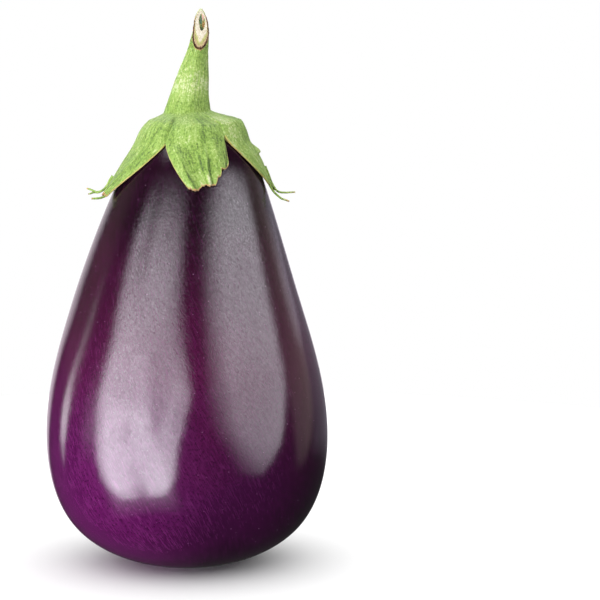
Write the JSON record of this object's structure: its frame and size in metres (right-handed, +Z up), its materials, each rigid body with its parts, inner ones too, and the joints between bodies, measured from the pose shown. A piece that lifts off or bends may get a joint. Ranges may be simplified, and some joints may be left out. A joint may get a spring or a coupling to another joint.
{
  "type": "eggplant",
  "caption": "Whole globe eggplant standing upright on its blossom end: glossy purple teardrop fruit, green lobed calyx running into a tapered stalk, cut on a slant.",
  "frame": {"origin": "centre of the small flat on the blossom end that the fruit stands on, at the surface it rests on", "axes": "+Z up along the fruit towards the stalk, -Y towards the viewer of the picture, so the slanting cut of the stalk faces -Y, +X to the viewer's right"},
  "size_m": [0.1006, 0.1006, 0.1968],
  "materials": {
    "fruit_skin": "smooth waxy dark purple skin, high gloss with fine wrinkles in the reflections",
    "calyx_green": "matt light green, fibrous and finely downy, with pale dry edges",
    "cut_wood": "pale dry cut wood with a green-brown pith"
  },
  "bodies": {
    "root": {"fruit": "fruit_skin", "calyx_and_stem": "calyx_green", "stem_wood": "cut_wood"}
  },
  "joints": []
}
